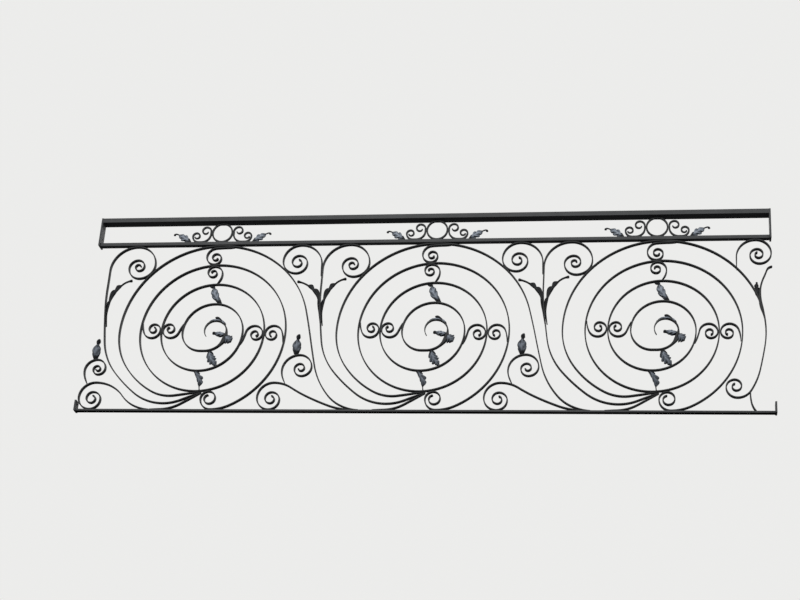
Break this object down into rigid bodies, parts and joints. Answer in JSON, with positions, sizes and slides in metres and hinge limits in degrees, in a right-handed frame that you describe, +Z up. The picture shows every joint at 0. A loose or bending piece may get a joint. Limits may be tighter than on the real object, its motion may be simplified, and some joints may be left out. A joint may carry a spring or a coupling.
{
  "type": "wrought iron balcony railing",
  "caption": "Wall-to-wall wrought iron balcony railing: spiral scroll bays with forged leaves under a ring and scroll frieze and a flat handrail.",
  "frame": {"origin": "centre of the wall face of the left wall plate, the short upright flat bar that ties the handrail to the frieze rail", "axes": "+X along the railing from the left wall to the right wall, +Y into the balcony, away from the street, +Z up"},
  "size_m": [3.2122, 0.05, 1.01],
  "materials": {
    "painted_iron": "satin black paint, weathered",
    "leaf_iron": "blue-grey paint rubbed to pewter on the high spots"
  },
  "bodies": {
    "root": {"base_scrolls": "painted_iron", "bottom_rail": "painted_iron", "bud_scrolls": "painted_iron", "buds": "leaf_iron", "centre_volutes": "painted_iron", "crown_scrolls": "painted_iron", "end_brace": "painted_iron", "end_leaf": "leaf_iron", "end_leaf_bar": "painted_iron", "end_scroll": "painted_iron", "frieze_leaves": "leaf_iron", "frieze_rail": "painted_iron", "frieze_rings": "painted_iron", "frieze_scrolls": "painted_iron", "handrail": "painted_iron", "left_foot_plate": "painted_iron", "left_wall_plate": "painted_iron", "main_spirals": "painted_iron", "mate_scrolls": "painted_iron", "outer_arches": "painted_iron", "right_foot_plate": "painted_iron", "right_wall_plate": "painted_iron", "risers": "painted_iron", "side_scrolls": "painted_iron", "spiral_leaves": "leaf_iron", "stem_leaves": "leaf_iron", "stem_scrolls": "painted_iron"}
  },
  "joints": []
}
